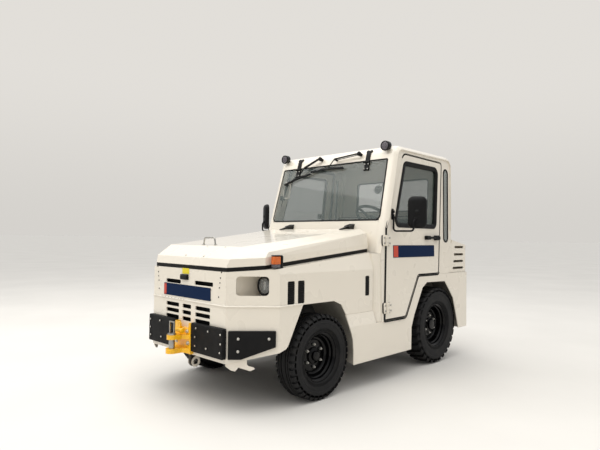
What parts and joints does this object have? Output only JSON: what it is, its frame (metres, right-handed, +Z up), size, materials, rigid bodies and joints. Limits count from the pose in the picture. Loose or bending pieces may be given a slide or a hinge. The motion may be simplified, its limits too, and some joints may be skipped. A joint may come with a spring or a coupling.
{
  "type": "airport baggage tug",
  "caption": "Baggage tow tractor with a chamfered nose, closed cab, hinged hood and doors, steered front wheels, and drawbar couplings front and rear.",
  "frame": {"origin": "on the floor below the middle of the bounding box", "axes": "+X driving direction, +Y the driver's side (left), +Z up"},
  "size_m": [3.106, 1.9468, 1.9644],
  "materials": {
    "body_paint": "glossy warm white paint",
    "dark_paint": "satin black chassis paint",
    "liner": "dull brown-grey underseal",
    "floor_mat": "ribbed floor mat",
    "tinted_glass": "grey tinted glass",
    "black_paint": "satin black",
    "black_plastic": "grained black plastic",
    "black_rubber": "matt black rubber",
    "yellow_paint": "golden yellow paint",
    "steel": "worn bright steel",
    "lamp_chrome": "lamp reflector",
    "orange_lens": "amber lens",
    "red_lens": "red lens",
    "dash_plastic": "grained dark grey plastic",
    "seat_vinyl": "black vinyl",
    "engine_iron": "cast iron",
    "rim_paint": "black wheel paint",
    "tyre_black": "black tyre rubber"
  },
  "bodies": {
    "body": {"chassis_frame": "dark_paint", "front_shell": "body_paint", "lower_body": "body_paint", "wheel_liners": "liner", "rear_deck": "body_paint", "cab_frame": "body_paint", "cab_cowl": "body_paint", "cab_roof": "body_paint", "cab_floor": "floor_mat", "cab_glasses": "tinted_glass", "windshield_fittings": "black_paint", "roof_lamps": "black_paint", "door_hinges": "body_paint", "hood_hinges": "black_paint", "hood_seal": "black_rubber", "rubber_bumpers": "black_rubber", "couplings": "yellow_paint", "headlamps": "lamp_chrome", "turn_lamps": "orange_lens", "tail_lamps": "red_lens", "side_vents": "black_plastic", "dashboard": "dash_plastic", "seats": "seat_vinyl", "engine_block": "engine_iron", "front_axle": "dark_paint", "rear_axle": "dark_paint"},
    "hood": {"hood": "body_paint", "hood_handle": "steel", "hood_hinge_leaves": "black_paint"},
    "left_door": {"door_left": "body_paint", "door_glass_left": "tinted_glass", "door_fittings_left": "black_plastic"},
    "right_door": {"door_right": "body_paint", "door_glass_right": "tinted_glass", "door_fittings_right": "black_plastic"},
    "steering_wheel": {"steering_wheel": "black_plastic"},
    "front_pin": {"front_coupling_pin": "steel"},
    "rear_pin": {"rear_coupling_pin": "steel"},
    "left_knuckle": {"knuckle_left": "dark_paint"},
    "right_knuckle": {"knuckle_right": "dark_paint"},
    "front_left_wheel": {"front_rim_left": "rim_paint", "front_tyre_left": "tyre_black"},
    "front_right_wheel": {"front_rim_right": "rim_paint", "front_tyre_right": "tyre_black"},
    "rear_left_wheel": {"rear_rim_left": "rim_paint", "rear_tyre_left": "tyre_black"},
    "rear_right_wheel": {"rear_rim_right": "rim_paint", "rear_tyre_right": "tyre_black"}
  },
  "joints": [
    {"name": "hood_hinge", "type": "hinge", "parent": "body", "child": "hood", "pos_m": [0.059, 0, 1.232], "axis": [0, -1, 0], "range_deg": [0, 50]},
    {"name": "left_door_hinge", "type": "hinge", "parent": "body", "child": "left_door", "pos_m": [0.007, 0.73034, 0.58536], "axis": [0, 0.0279, -0.9996], "range_deg": [0, 75]},
    {"name": "right_door_hinge", "type": "hinge", "parent": "body", "child": "right_door", "pos_m": [0.007, -0.73034, 0.58536], "axis": [0, 0.0279, 0.9996], "range_deg": [0, 75]},
    {"name": "left_knuckle_steer", "type": "hinge", "parent": "body", "child": "left_knuckle", "pos_m": [0.727, 0.504, 0.3], "axis": [0, 0, 1], "range_deg": [-30, 30]},
    {"name": "right_knuckle_steer", "type": "hinge", "parent": "body", "child": "right_knuckle", "pos_m": [0.727, -0.504, 0.3], "axis": [0, 0, 1], "range_deg": [-30, 30]},
    {"name": "steering_wheel_turn", "type": "hinge", "parent": "body", "child": "steering_wheel", "pos_m": [-0.2577, 0.37, 1.2964], "axis": [-0.6157, 0, 0.788], "range_deg": [-360, 360]},
    {"name": "front_left_wheel_spin", "type": "hinge", "parent": "left_knuckle", "child": "front_left_wheel", "pos_m": [0.727, 0.596, 0.3], "axis": [0, 1, 0], "continuous": true},
    {"name": "front_right_wheel_spin", "type": "hinge", "parent": "right_knuckle", "child": "front_right_wheel", "pos_m": [0.727, -0.596, 0.3], "axis": [0, 1, 0], "continuous": true},
    {"name": "rear_left_wheel_spin", "type": "hinge", "parent": "body", "child": "rear_left_wheel", "pos_m": [-0.868, 0.596, 0.347], "axis": [0, 1, 0], "continuous": true},
    {"name": "rear_right_wheel_spin", "type": "hinge", "parent": "body", "child": "rear_right_wheel", "pos_m": [-0.868, -0.596, 0.347], "axis": [0, 1, 0], "continuous": true},
    {"name": "front_pin_lift", "type": "slide", "parent": "body", "child": "front_pin", "axis": [0, 0, 1], "range_m": [0, 0.17]},
    {"name": "rear_pin_lift", "type": "slide", "parent": "body", "child": "rear_pin", "axis": [0, 0, 1], "range_m": [0, 0.17]}
  ],
  "couplings": [
    {"joint": "right_knuckle_steer", "follows": "left_knuckle_steer", "ratio": 1},
    {"joint": "steering_wheel_turn", "follows": "left_knuckle_steer", "ratio": 12}
  ]
}
